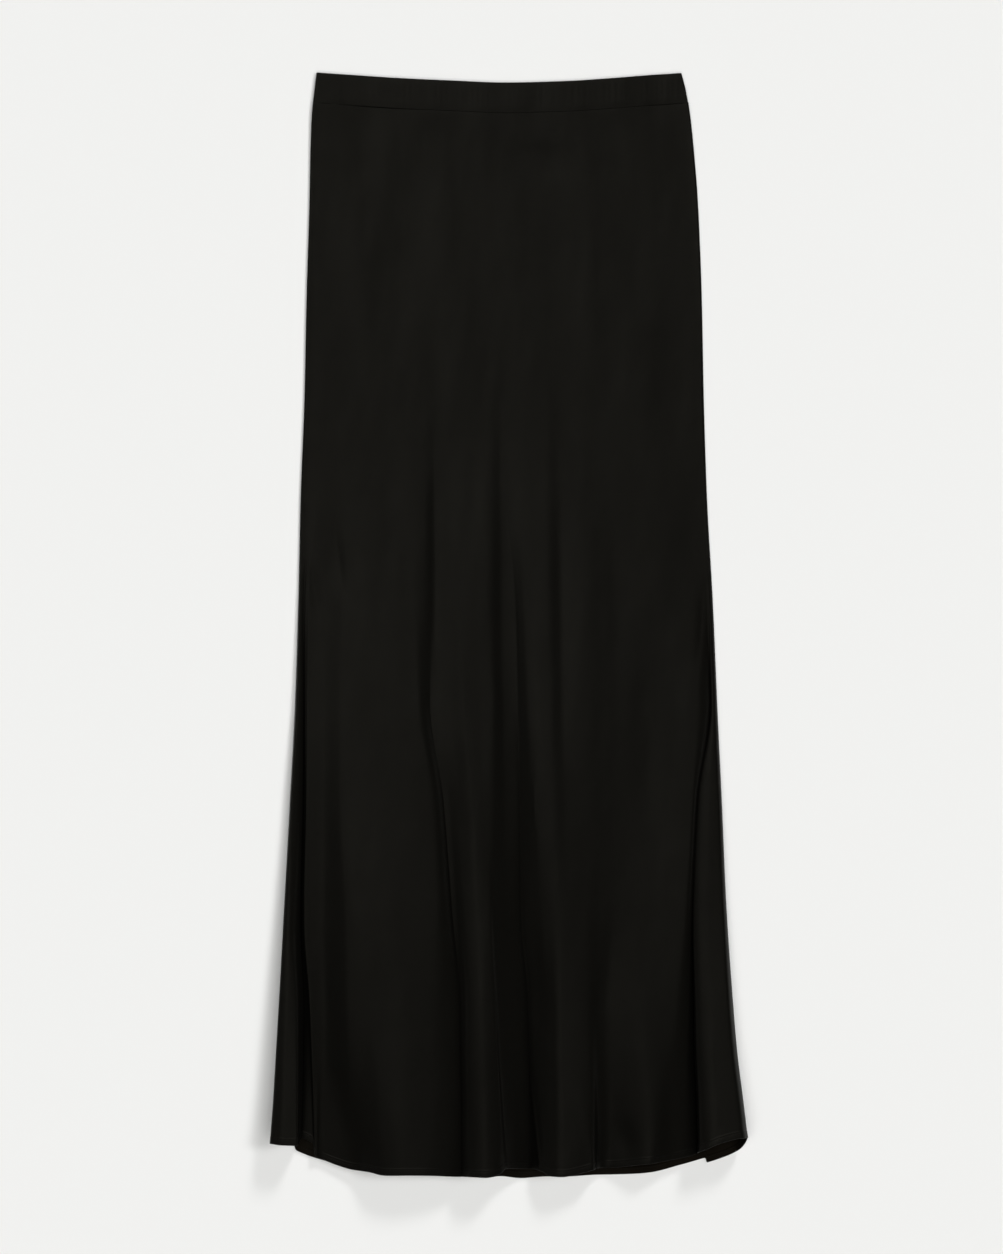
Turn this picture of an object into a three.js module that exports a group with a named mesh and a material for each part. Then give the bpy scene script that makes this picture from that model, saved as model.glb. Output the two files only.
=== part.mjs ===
// Long slip skirt, bias cut, laid flat on a table with its front up.
// Millimetres, +Z up from the table, +Y towards the waist, +X to the viewer's right.
// The back panel lies on the table and the front panel lies on it. Over the hips both are
// flat. Below the knee the spare cloth of the front stands up in flutes that grow to the hem.
// A narrow band of the same cloth over soft elastic closes the waist, front and back.
import * as THREE from 'three';

// ---------- driving sizes ----------
const LENGTH = 1016.0;        // top of the waist to the lowest point of the hem, as laid
const CLOTH_WALL = 1.3;       // panel wall
const BAND_WALL = 2.0;        // waistband wall: two layers of cloth over soft elastic
const SEAM_GAP = 0.3;         // between pieces at a seam, and between the layers
const BAND_SEAM_GAP = 0.6;    // between the band's lower edge and a panel's top edge, along the skirt
const BAND_DEPTH = 28;        // height of the waistband
const BAND_EASE = 70;         // below the band, the front panel comes down from the band over this
const TOP_Y = LENGTH / 2;     // the origin is under the middle of the laid skirt

// Waist edge: how far it dips below its highest point, from the left corner to the right.
const WAIST_DIP = {
  columns: ['x', 'dip'],
  rows: [[-176.6, 0], [-145, 2.2], [-99, 5.2], [-53, 7.3], [-3, 9.2], [48, 8], [94, 5.2], [131, 2.3], [159.2, 0.5]],
};

// Side seams: distance below the top, x of the left seam, x of the right seam.
const OUTLINE = {
  columns: ['down', 'left', 'right'],
  rows: [
    [0, -176.6, 158.8],
    [15.6, -178.5, 162.8],
    [43.2, -181.2, 167.4],
    [70.8, -182.2, 170.2],
    [117, -183.1, 173.9],
    [209, -185.8, 177.6],
    [301, -187.7, 179.4],
    [393, -191.2, 182.4],
    [485, -193.2, 187.6],
    [577, -196.0, 191.4],
    [669, -200.6, 195.6],
    [761, -205.4, 199.4],
    [853, -210.2, 205.4],
    [899, -212.8, 209.2],
    [945, -215.4, 214.8],
    [983, -218.2, 219.2],
  ],
};

// Fold lines of the front panel, from the left seam to the right seam. x at the stations down
// the skirt and at the hem; where the fold starts; how far the cloth is lifted there; where its
// hem ends.
const FRONT_FOLDS = {
  stations: [301, 485, 577, 669, 779, 853],
  across: ['xHip', 'xKnee', 'xShin', 'xCalf', 'xAnkle', 'xLow', 'xHem'],
  columns: ['name', 'xHip', 'xKnee', 'xShin', 'xCalf', 'xAnkle', 'xLow', 'xHem', 'start', 'liftCalf', 'liftLow', 'liftHem', 'hem', 'steps'],
  rows: [
    ['seam_left', null, null, null, null, null, null, null, 560, 4.8, 14.6, 20.5, 981.6, 2],
    ['strip_left', -181.1, -191.2, -193.3, -198.3, -201.6, -202.7, -206.3, 420, 6.0, 17, 24.5, 982.4, 2],
    ['valley_left', -174.7, -188.1, -188.1, -188.5, -191.0, -188.5, -190.7, 400, 0.2, 0.4, 0.8, 979.0, 3],
    ['edge_left', -162.7, -183.3, -185.0, -185.4, -187.0, -182.1, -177.3, 400, 5.6, 7.2, 3.4, 995.0, 2],
    ['dip_left', -152.6, -167.3, -169.9, -171.2, -172.1, -170.3, -169.6, 400, 5.4, 6.2, 1.8, 999, 3],
    ['shelf_left', -136.1, -150.6, -153.3, -153.2, -148.4, -146.5, -142.3, 360, 9.2, 15.2, 5.0, 1007.6, 2],
    ['crest_left', -113.1, -112.0, -111.9, -111.8, -106.2, -101.5, -92.3, 330, 10.6, 19, 23, 1010.1, 2],
    ['shoulder_left', -88.3, -87.2, -83.5, -70.6, -65.9, -69.6, -70.4, 330, 9.9, 17.6, 21.6, 1010.5, 3],
    ['valley_1', -69.9, -70.3, -72.1, -59.7, -51.4, -45.0, -43.5, 330, 4.0, 9.2, 12.5, 1012.6, 3],
    ['flute_1', -42.3, -43.2, -39.5, -33.0, -27.0, -23.8, -20.1, 330, 10, 18.8, 24, 1011.7, 2],
    ['brink_1', -29.4, -29.4, -25.7, -22.0, -16.7, -13.6, -7.0, 330, 9.2, 17.2, 20.5, 1008.6, 3],
    ['valley_2_left', -15.6, -10.1, -5.5, -4.6, -3.7, 0.9, 6.4, 330, 5.8, 9.6, 8.4, 1005.9, 3],
    ['valley_2_right', -11.0, 4.6, 7.3, 10.1, 11.5, 17.5, 19.1, 330, 2.4, 0.9, 0.4, 1007.2, 3],
    ['brink_2', 2.8, 15.6, 18.8, 21.5, 23.8, 28.7, 30.2, 330, 7.4, 5.8, 11.4, 1008.0, 2],
    ['flute_2', 34.0, 47.7, 49.5, 47.6, 48.5, 49.0, 49.8, 330, 10.4, 13.8, 20.0, 1011.9, 2],
    ['brink_3', 66.2, 73.5, 73.4, 71.5, 71.5, 72.8, 76.8, 330, 8.0, 12.6, 16, 1006.2, 3],
    ['dip_right', 95.6, 102.9, 103.8, 103.7, 100.9, 95.4, 91.0, 430, 5.4, 8, 2.4, 1006.0, 3],
    ['crest_right', 130.6, 135.1, 135.9, 135.8, 132.9, 129.2, 128.1, 400, 6.8, 10.6, 14.6, 1000.8, 2],
    ['ridge_right', 160.0, 173.2, 174.0, 168.3, 161.3, 153.5, 146.7, 440, 8.2, 10.8, 8.0, 998.6, 3],
    ['valley_right', 167.3, 182.0, 185.3, 173.8, 169.7, 170.4, 173.4, 440, 0.3, 0.6, 0.8, 992.8, 2],
    ['strip_right', 172.9, 185.4, 187.7, 184.4, 185.0, 186.6, 191.6, 460, 6.8, 17.2, 25.5, 981.0, 2],
    ['seam_right', null, null, null, null, null, null, null, 600, 2.8, 10.2, 17.4, 976.8, 0],
  ],
};

// Fold lines of the back panel. It rests on the table between its own low flutes, which stand
// up inside the front's, and comes up to the side seams at the hem.
const BACK_FOLDS = {
  stations: [301, 485, 669, 853],
  across: ['xHip', 'xKnee', 'xCalf', 'xLow', 'xHem'],
  columns: ['name', 'xHip', 'xKnee', 'xCalf', 'xLow', 'xHem', 'start', 'liftCalf', 'liftLow', 'liftHem', 'hem', 'steps'],
  rows: [
    ['seam_left', null, null, null, null, null, 560, 4.8, 14.6, 20.5, 981.6, 2],
    ['land_left', -180.0, -186.0, -192.0, -197.0, -201.0, 600, 0, 0.3, 0.6, 984.6, 1],
    ['notch_left', -177.0, -182.0, -188.0, -193.5, -197.4, 600, 0, 0.1, 0.2, 985.4, 1],
    ['notch_left_end', -176.0, -181.0, -187.0, -192.0, -196.0, 600, 0, 0.1, 0.1, 989.6, 1],
    ['rest_left', -170.0, -174.0, -180.0, -184.0, -186.0, 600, 0, 0, 0, 994.6, 2],
    ['foot_a_left', -140.0, -141.0, -143.0, -140.0, -137.0, 600, 0, 0, 0, 1007.2, 2],
    ['ridge_a', -113.0, -112.0, -110.0, -104.0, -99.0, 560, 1.5, 5, 7, 1010.5, 2],
    ['foot_a_right', -84.0, -84.0, -78.0, -70.0, -63.0, 600, 0, 0, 0, 1013.5, 1],
    ['rest_v1', -65.0, -70.0, -59.0, -46.0, -46.0, 600, 0, 0, 0, 1014.5, 1],
    ['foot_b_left', -54.0, -57.0, -48.0, -37.0, -36.0, 600, 0, 0, 0, 1015.0, 1],
    ['ridge_b', -40.0, -40.0, -31.0, -23.0, -21.0, 620, 0.8, 3.5, 5, 1015.2, 1],
    ['foot_b_right', -26.0, -24.0, -12.0, -9.0, -7.0, 620, 0, 0, 0, 1014.2, 1],
    ['rest_v2', -10.0, -2.0, 9.0, 10.0, 11.0, 620, 0, 0, 0, 1016.0, 1],
    ['foot_c_left', 12.0, 20.0, 26.0, 29.0, 31.0, 620, 0, 0, 0, 1014.6, 2],
    ['ridge_c', 34.0, 43.0, 46.0, 50.0, 55.0, 560, 1.5, 4, 5.5, 1013.6, 2],
    ['foot_c_right', 60.0, 66.0, 68.0, 72.0, 81.0, 600, 0, 0, 0, 1012.9, 2],
    ['foot_d_left', 102.0, 106.0, 108.0, 104.0, 106.0, 620, 0, 0, 0, 1012.4, 2],
    ['ridge_d', 128.0, 134.0, 135.0, 132.0, 131.0, 620, 0.8, 2, 3, 1010.2, 2],
    ['foot_d_right', 150.0, 160.0, 160.0, 158.0, 158.0, 620, 0, 0, 0, 1003.8, 2],
    ['rest_right', 166.0, 174.0, 175.0, 176.0, 180.6, 620, 0, 0, 0, 997.4, 1],
    ['notch_right', 167.2, 175.2, 176.4, 177.6, 182.6, 620, 0, 0, 0, 1001.6, 1],
    ['land_right', 174.0, 182.0, 187.0, 194.0, 205.0, 620, 0, 0.3, 0.6, 993.6, 2],
    ['corner_right', 176.5, 185.0, 191.5, 200.0, 213.0, 620, 0.8, 3.2, 5.0, 987.8, 2],
    ['seam_right', null, null, null, null, null, 600, 2.8, 10.2, 17.4, 976.8, 0],
  ],
};

// Rows of each panel, as a share of the way from the waist seam to the hem.
const FRONT_ROWS = [0, 0.04, 0.1, 0.18, 0.26, 0.32, 0.37, 0.42, 0.465, 0.51, 0.55, 0.59, 0.63, 0.67, 0.71, 0.75, 0.785, 0.82, 0.855, 0.885, 0.915, 0.94, 0.965, 0.985, 1];
const BACK_ROWS = [0, 0.1, 0.26, 0.37, 0.465, 0.55, 0.59, 0.63, 0.67, 0.71, 0.785, 0.855, 0.915, 0.965, 1];

// ---------- curves ----------
// Smooth curve through a table's rows that never overshoots them.
function smoothThrough(xs, ys) {
  const n = xs.length;
  const h = [], slope = [], m = new Array(n).fill(0);
  for (let i = 0; i < n - 1; i++) {
    h.push(xs[i + 1] - xs[i]);
    slope.push((ys[i + 1] - ys[i]) / h[i]);
  }
  for (let i = 1; i < n - 1; i++) {
    if (slope[i - 1] * slope[i] > 0) {
      const a = 2 * h[i] + h[i - 1], b = h[i] + 2 * h[i - 1];
      m[i] = (a + b) / (a / slope[i - 1] + b / slope[i]);
    }
  }
  m[0] = slope[0];
  m[n - 1] = slope[n - 2];
  return (x) => {
    if (x <= xs[0]) return ys[0];
    if (x >= xs[n - 1]) return ys[n - 1];
    let i = 0;
    while (x > xs[i + 1]) i++;
    const t = (x - xs[i]) / h[i], t2 = t * t, t3 = t2 * t;
    return (2 * t3 - 3 * t2 + 1) * ys[i] + (t3 - 2 * t2 + t) * h[i] * m[i]
      + (3 * t2 - 2 * t3) * ys[i + 1] + (t3 - t2) * h[i] * m[i + 1];
  };
}

const column = (table, name) => table.rows.map((row) => row[table.columns.indexOf(name)]);
const curveOf = (table, a, b) => smoothThrough(column(table, a), column(table, b));
const leftSeam = curveOf(OUTLINE, 'down', 'left');
const rightSeam = curveOf(OUTLINE, 'down', 'right');
const waistDip = curveOf(WAIST_DIP, 'x', 'dip');
const smoothstep = (t) => { const k = Math.min(1, Math.max(0, t)); return k * k * (3 - 2 * k); };

// One fold line: x and lift as functions of the distance down.
function foldLine(table, row) {
  const get = (name) => row[table.columns.indexOf(name)];
  const hem = get('hem');
  const downs = [...table.stations, hem];
  const xs = table.across.map(get);
  const name = get('name');
  let share;
  if (name === 'seam_left') share = () => 0;
  else if (name === 'seam_right') share = () => 1;
  else {
    const shares = downs.map((d, i) => (xs[i] - leftSeam(d)) / (rightSeam(d) - leftSeam(d)));
    share = smoothThrough([0, ...downs], [shares[0], ...shares]);
  }
  const lift = smoothThrough([0, get('start'), 669, 853, hem], [0, 0, get('liftCalf'), get('liftLow'), get('liftHem')]);
  return { name, hem, steps: get('steps'), x: (d) => leftSeam(d) + share(d) * (rightSeam(d) - leftSeam(d)), lift };
}

// A panel's inner face: rows down the skirt, columns across its fold lines.
function panelGrid(table, rows, level) {
  const lines = table.rows.map((row) => foldLine(table, row));
  const along = [];
  lines.forEach((line, i) => {
    for (let s = 0; s < Math.max(1, line.steps); s++) if (i < lines.length - 1) along.push(i + s / line.steps);
  });
  along.push(lines.length - 1);
  const marks = lines.map((_, i) => i);
  return rows.map((v) => {
    const at = lines.map((line) => {
      const top = BAND_DEPTH + BAND_SEAM_GAP + waistDip(line.x(BAND_DEPTH));
      const d = top + v * (line.hem - top);
      return [line.x(d), TOP_Y - d, level(d) + line.lift(d)];
    });
    const axes = [0, 1, 2].map((k) => smoothThrough(marks, at.map((p) => p[k])));
    return along.map((u) => new THREE.Vector3(axes[0](u), axes[1](u), axes[2](u)));
  });
}

// Unit normals of a grid of points, pointing to +Z.
function gridNormals(grid) {
  const across = new THREE.Vector3(), down = new THREE.Vector3();
  return grid.map((row, j) => row.map((_, i) => {
    across.subVectors(row[Math.min(i + 1, row.length - 1)], row[Math.max(i - 1, 0)]);
    down.subVectors(grid[Math.max(j - 1, 0)][i], grid[Math.min(j + 1, grid.length - 1)][i]);
    const n = new THREE.Vector3().crossVectors(across, down).normalize();
    if (Math.hypot(n.x, n.y) < 1e-5) n.set(0, 0, 1);
    return n;
  }));
}

// A wall from one face, thickened along the normals: +1 upwards, -1 downwards.
function wallFrom(grid, thickness, side) {
  const normals = gridNormals(grid);
  const outer = grid.map((row, j) => row.map((p, i) => p.clone().addScaledVector(normals[j][i], side * thickness)));
  return side > 0 ? solidBetween(grid, outer) : solidBetween(outer, grid);
}

// Closed solid between a lower and an upper grid of the same size.
function solidBetween(lower, upper) {
  const nr = lower.length, nc = lower[0].length, half = nr * nc;
  const positions = [];
  for (const grid of [lower, upper]) for (const row of grid) for (const p of row) positions.push(p.x, p.y, p.z);
  const id = (j, i, top) => (top ? half : 0) + j * nc + i;
  const index = [];
  const quad = (a, b, c, d) => index.push(a, b, c, a, c, d);
  for (let j = 0; j < nr - 1; j++) {
    for (let i = 0; i < nc - 1; i++) {
      quad(id(j, i, 1), id(j + 1, i, 1), id(j + 1, i + 1, 1), id(j, i + 1, 1));
      quad(id(j, i, 0), id(j, i + 1, 0), id(j + 1, i + 1, 0), id(j + 1, i, 0));
    }
  }
  for (let i = 0; i < nc - 1; i++) {
    quad(id(0, i, 0), id(0, i, 1), id(0, i + 1, 1), id(0, i + 1, 0));
    quad(id(nr - 1, i, 0), id(nr - 1, i + 1, 0), id(nr - 1, i + 1, 1), id(nr - 1, i, 1));
  }
  for (let j = 0; j < nr - 1; j++) {
    quad(id(j, 0, 0), id(j + 1, 0, 0), id(j + 1, 0, 1), id(j, 0, 1));
    quad(id(j, nc - 1, 0), id(j, nc - 1, 1), id(j + 1, nc - 1, 1), id(j + 1, nc - 1, 0));
  }
  const geometry = new THREE.BufferGeometry();
  geometry.setAttribute('position', new THREE.Float32BufferAttribute(positions, 3));
  geometry.setIndex(index);
  return geometry;
}

// ---------- pieces ----------
const backLevel = () => CLOTH_WALL;
const frontLevel = (d) => CLOTH_WALL + SEAM_GAP
  + (BAND_WALL - CLOTH_WALL) * (1 - smoothstep((d - BAND_DEPTH) / BAND_EASE));

const frontGeometry = wallFrom(panelGrid(FRONT_FOLDS, FRONT_ROWS, frontLevel), CLOTH_WALL, 1);
const backGeometry = wallFrom(panelGrid(BACK_FOLDS, BACK_ROWS, backLevel), CLOTH_WALL, -1);

// The band: a strip from side seam to side seam, following the dip of the waist.
const BAND_STEPS = 14;
function bandGrid(z) {
  return [0, 0.5, 1].map((v) => {
    const row = [];
    for (let i = 0; i <= BAND_STEPS; i++) {
      const share = i / BAND_STEPS;
      const d0 = v * BAND_DEPTH;
      const x = leftSeam(d0) + share * (rightSeam(d0) - leftSeam(d0));
      row.push(new THREE.Vector3(x, TOP_Y - d0 - waistDip(x), z));
    }
    return row;
  });
}
const bandBackGeometry = solidBetween(bandGrid(0), bandGrid(BAND_WALL));
const bandFrontGeometry = solidBetween(bandGrid(BAND_WALL + SEAM_GAP), bandGrid(2 * BAND_WALL + SEAM_GAP));

// ---------- the skirt ----------
const crepe = () => new THREE.MeshStandardMaterial({ color: 0x141311, roughness: 0.72, metalness: 0, side: THREE.DoubleSide });
const skirt = new THREE.Group();
const pieces = [
  ['back_panel', backGeometry],
  ['front_panel', frontGeometry],
  ['waistband_back', bandBackGeometry],
  ['waistband_front', bandFrontGeometry],
];
for (const [name, geometry] of pieces) {
  const mesh = new THREE.Mesh(geometry, crepe());
  mesh.name = name;
  skirt.add(mesh);
}

export default skirt;
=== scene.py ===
"""Long black slip skirt, laid flat: the looks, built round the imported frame.

The tables repeat the CAD's sizes in millimetres, measured down from the top of the waist and
across from the middle. Every finished piece is in metres, in the frame's own coordinates.
"""
import math

import bpy
import numpy as np
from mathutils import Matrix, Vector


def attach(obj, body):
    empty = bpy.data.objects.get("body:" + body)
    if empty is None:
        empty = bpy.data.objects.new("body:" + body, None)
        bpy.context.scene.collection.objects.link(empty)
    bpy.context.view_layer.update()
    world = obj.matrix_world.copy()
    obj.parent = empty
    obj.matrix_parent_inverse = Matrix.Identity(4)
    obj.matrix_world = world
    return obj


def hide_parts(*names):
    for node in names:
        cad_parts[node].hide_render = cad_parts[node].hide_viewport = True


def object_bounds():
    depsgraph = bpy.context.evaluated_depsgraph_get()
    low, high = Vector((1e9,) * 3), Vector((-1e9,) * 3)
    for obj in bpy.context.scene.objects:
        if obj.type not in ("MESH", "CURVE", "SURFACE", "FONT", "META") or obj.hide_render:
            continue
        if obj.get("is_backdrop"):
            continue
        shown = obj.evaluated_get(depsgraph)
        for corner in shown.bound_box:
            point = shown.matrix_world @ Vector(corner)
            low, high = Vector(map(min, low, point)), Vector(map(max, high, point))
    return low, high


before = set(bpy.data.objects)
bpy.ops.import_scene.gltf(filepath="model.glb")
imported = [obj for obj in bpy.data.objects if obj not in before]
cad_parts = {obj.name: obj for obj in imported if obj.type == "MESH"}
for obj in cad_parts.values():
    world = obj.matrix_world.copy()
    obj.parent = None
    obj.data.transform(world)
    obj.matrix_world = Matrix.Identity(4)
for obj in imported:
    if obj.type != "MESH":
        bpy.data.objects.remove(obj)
CAD_LO, CAD_HI = (list(c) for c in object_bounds())
MM = 0.001
TOP_Y = CAD_HI[1] / MM

# ---------------------------------------------------------------- camera
# Straight above the skirt, as it was photographed.
CAMERA_HEIGHT = 3.4
FRAME_TALL = 1.15368
camera_data = bpy.data.cameras.new("camera")
camera_data.sensor_width = 36.0
camera_data.lens = 36.0 * CAMERA_HEIGHT / FRAME_TALL
camera_data.clip_start, camera_data.clip_end = 0.05, 60.0
camera = bpy.data.objects.new("camera", camera_data)
camera.location = (-0.00658, TOP_Y * MM - 0.50968, CAMERA_HEIGHT)
bpy.context.scene.collection.objects.link(camera)
bpy.context.scene.camera = camera

# ---------------------------------------------------------------- sizes, millimetres
CLOTH_WALL = 1.3
BAND_WALL = 2.0
SEAM_GAP = 0.3
BAND_DEPTH = 28.0
BAND_EASE = 70.0
SHEET = 0.65          # the cloth as it shows
HEM_TURN = 6.0        # the narrow turned hem
STITCH_UP = 4.6       # its stitching, above the edge

WAIST_DIP = [(-176.6, 0), (-145, 2.2), (-99, 5.2), (-53, 7.3), (-3, 9.2), (48, 8), (94, 5.2), (131, 2.3), (159.2, 0.5)]
# down, left, right
OUTLINE = [
    (0, -176.6, 158.8), (15.6, -178.5, 162.8), (43.2, -181.2, 167.4), (70.8, -182.2, 170.2), (117, -183.1, 173.9),
    (209, -185.8, 177.6), (301, -187.7, 179.4), (393, -191.2, 182.4), (485, -193.2, 187.6), (577, -196.0, 191.4),
    (669, -200.6, 195.6), (761, -205.4, 199.4), (853, -210.2, 205.4), (899, -212.8, 209.2), (945, -215.4, 214.8),
    (983, -218.2, 219.2),
]
STATIONS = (301.0, 485.0, 577.0, 669.0, 779.0, 853.0)
BACK_STATIONS = (301.0, 485.0, 669.0, 853.0)

# name, x at the stations and the hem, start, lift at 669, 853 and the hem, hem, columns to the next line
FRONT_FOLDS = [
    ("seam_left", None, None, None, None, None, None, None, 560, 4.8, 14.6, 20.5, 981.6, 8),
    ("strip_left", -181.1, -191.2, -193.3, -198.3, -201.6, -202.7, -206.3, 420, 6.0, 17, 24.5, 982.4, 7),
    ("lip_strip_left", -177.5, -189.7, -190.9, -193.7, -197.8, -194.6, -193.6, 420, 5, 16, 24.5, 982.8, 7),
    ("valley_left", -174.7, -188.1, -188.1, -188.5, -191.0, -188.5, -190.7, 400, 0.2, 0.4, 0.8, 979.0, 6),
    ("lip_facet_left", -171.0, -186.6, -186.9, -187.2, -189.8, -185.6, -187.5, 400, 3.4, 3.0, 1.6, 979.8, 6),
    ("under_left", -166.4, -185.1, -185.7, -186.2, -188.8, -183.9, -179.4, 400, 4.6, 5.4, 2.4, 984.4, 6),
    ("edge_left", -162.7, -183.3, -185.0, -185.4, -187.0, -182.1, -177.3, 400, 5.6, 7.2, 3.4, 995.0, 8),
    ("dip_left", -152.6, -167.3, -169.9, -171.2, -172.1, -170.3, -169.6, 400, 5.4, 6.2, 1.8, 999, 9),
    ("shelf_left", -136.1, -150.6, -153.3, -153.2, -148.4, -146.5, -142.3, 360, 9.2, 15.2, 5.0, 1007.6, 5),
    ("step_left_a", -128.7, -143.3, -146.8, -144.9, -139.2, -132.7, -127.8, 360, 9.9, 16.8, 12.4, 1008.6, 4),
    ("step_left_b", -125.0, -136.8, -139.5, -134.8, -127.3, -120.8, -113.4, 350, 10.2, 18, 19.4, 1010.7, 7),
    ("crest_left", -113.1, -112.0, -111.9, -111.8, -106.2, -101.5, -92.3, 330, 10.6, 19, 23, 1010.1, 8),
    ("shoulder_left", -88.3, -87.2, -83.5, -70.6, -65.9, -69.6, -70.4, 330, 9.9, 17.6, 21.6, 1010.5, 9),
    ("valley_1", -69.9, -70.3, -72.1, -59.7, -51.4, -45.0, -43.5, 330, 4.0, 9.2, 12.5, 1012.6, 6),
    ("lip_1", -66.2, -66.4, -66.9, -55.6, -47.3, -42.2, -40.9, 330, 4.7, 11.0, 14.8, 1012.4, 5),
    ("wall_1", -57.9, -56.5, -53.1, -46.4, -40.3, -36.8, -35.0, 330, 7.2, 15.4, 19.4, 1012.0, 7),
    ("flute_1", -42.3, -43.2, -39.5, -33.0, -27.0, -23.8, -20.1, 330, 10, 18.8, 24, 1011.7, 7),
    ("brink_1", -29.4, -29.4, -25.7, -22.0, -16.7, -13.6, -7.0, 330, 9.2, 17.2, 20.5, 1008.6, 6),
    ("under_1", -22.1, -20.2, -15.6, -15.2, -14.5, -10.6, -2.8, 330, 8.6, 14.8, 15.6, 1005.2, 7),
    ("valley_2_left", -15.6, -10.1, -5.5, -4.6, -3.7, 0.9, 6.4, 330, 5.8, 9.6, 8.4, 1005.9, 8),
    ("valley_2_right", -11.0, 4.6, 7.3, 10.1, 11.5, 17.5, 19.1, 330, 2.4, 0.9, 0.4, 1007.2, 6),
    ("under_2", -4.6, 8.7, 11.5, 14.2, 15.6, 21.6, 23.9, 330, 4.2, 2.8, 5.0, 1007.0, 6),
    ("brink_2", 2.8, 15.6, 18.8, 21.5, 23.8, 28.7, 30.2, 330, 7.4, 5.8, 11.4, 1008.0, 6),
    ("rise_2", 12.9, 27.5, 30.3, 29.3, 33.4, 37.1, 38.0, 330, 9.4, 9.9, 16.6, 1011.8, 7),
    ("flute_2", 34.0, 47.7, 49.5, 47.6, 48.5, 49.0, 49.8, 330, 10.4, 13.8, 20.0, 1011.9, 8),
    ("brink_3", 66.2, 73.5, 73.4, 71.5, 71.5, 72.8, 76.8, 330, 8.0, 12.6, 16, 1006.2, 6),
    ("under_3", 80.9, 88.2, 89.1, 88.1, 85.3, 83.4, 80.3, 380, 6.2, 9.6, 8.0, 1005.6, 7),
    ("dip_right", 95.6, 102.9, 103.8, 103.7, 100.9, 95.4, 91.0, 430, 5.4, 8, 2.4, 1006.0, 10),
    ("crest_right", 130.6, 135.1, 135.9, 135.8, 132.9, 129.2, 128.1, 400, 6.8, 10.6, 14.6, 1000.8, 9),
    ("ridge_right", 160.0, 173.2, 174.0, 168.3, 161.3, 153.5, 146.7, 440, 8.2, 10.8, 8.0, 998.6, 9),
    ("valley_right", 167.3, 182.0, 185.3, 173.8, 169.7, 170.4, 173.4, 440, 0.3, 0.6, 0.8, 992.8, 4),
    ("lip_strip_right", 169.2, 183.3, 185.8, 173.2, 169.0, 170.4, 173.1, 440, 3.2, 11, 17, 990.2, 5),
    ("wall_strip_right", 171.0, 184.4, 186.8, 178.1, 175.0, 176.8, 180.8, 440, 5.8, 15.6, 23.4, 986.2, 6),
    ("strip_right", 172.9, 185.4, 187.7, 184.4, 185.0, 186.6, 191.6, 460, 6.8, 17.2, 25.5, 981.0, 7),
    ("rim_right", 176.1, 186.3, 189.0, 191.8, 196.4, 200.3, 212.6, 480, 6.5, 17.0, 25.0, 975.8, 6),
    ("seam_right", None, None, None, None, None, None, None, 600, 2.8, 10.2, 17.4, 976.8, 0),
]
BACK_FOLDS = [
    ("seam_left", None, None, None, None, None, 560, 4.8, 14.6, 20.5, 981.6, 8),
    ("land_left", -180.0, -186.0, -192.0, -197.0, -201.0, 600, 0, 0.3, 0.6, 984.6, 4),
    ("notch_left", -177.0, -182.0, -188.0, -193.5, -197.4, 600, 0, 0.1, 0.2, 985.4, 3),
    ("notch_left_end", -176.0, -181.0, -187.0, -192.0, -196.0, 600, 0, 0.1, 0.1, 989.6, 4),
    ("rest_left", -170.0, -174.0, -180.0, -184.0, -186.0, 600, 0, 0, 0, 994.6, 8),
    ("foot_a_left", -140.0, -141.0, -143.0, -140.0, -137.0, 600, 0, 0, 0, 1007.2, 8),
    ("ridge_a", -113.0, -112.0, -110.0, -104.0, -99.0, 560, 1.5, 5, 7, 1010.5, 8),
    ("foot_a_right", -84.0, -84.0, -78.0, -70.0, -63.0, 600, 0, 0, 0, 1013.5, 4),
    ("rest_v1", -65.0, -70.0, -59.0, -46.0, -46.0, 600, 0, 0, 0, 1014.5, 4),
    ("foot_b_left", -54.0, -57.0, -48.0, -37.0, -36.0, 600, 0, 0, 0, 1015.0, 6),
    ("ridge_b", -40.0, -40.0, -31.0, -23.0, -21.0, 620, 0.8, 3.5, 5, 1015.2, 6),
    ("foot_b_right", -26.0, -24.0, -12.0, -9.0, -7.0, 620, 0, 0, 0, 1014.2, 5),
    ("rest_v2", -10.0, -2.0, 9.0, 10.0, 11.0, 620, 0, 0, 0, 1016.0, 5),
    ("foot_c_left", 12.0, 20.0, 26.0, 29.0, 31.0, 620, 0, 0, 0, 1014.6, 7),
    ("ridge_c", 34.0, 43.0, 46.0, 50.0, 55.0, 560, 1.5, 4, 5.5, 1013.6, 7),
    ("foot_c_right", 60.0, 66.0, 68.0, 72.0, 81.0, 600, 0, 0, 0, 1012.9, 6),
    ("foot_d_left", 102.0, 106.0, 108.0, 104.0, 106.0, 620, 0, 0, 0, 1012.4, 7),
    ("ridge_d", 128.0, 134.0, 135.0, 132.0, 131.0, 620, 0.8, 2, 3, 1010.2, 7),
    ("foot_d_right", 150.0, 160.0, 160.0, 158.0, 158.0, 620, 0, 0, 0, 1003.8, 6),
    ("rest_right", 166.0, 174.0, 175.0, 176.0, 180.6, 620, 0, 0, 0, 997.4, 3),
    ("notch_right", 167.2, 175.2, 176.4, 177.6, 182.6, 620, 0, 0, 0, 1001.6, 5),
    ("land_right", 174.0, 182.0, 187.0, 194.0, 205.0, 620, 0, 0.3, 0.6, 993.6, 5),
    ("corner_right", 176.5, 185.0, 191.5, 200.0, 213.0, 620, 0.8, 3.2, 5.0, 987.8, 5),
    ("seam_right", None, None, None, None, None, 600, 2.8, 10.2, 17.4, 976.8, 0),
]

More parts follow.
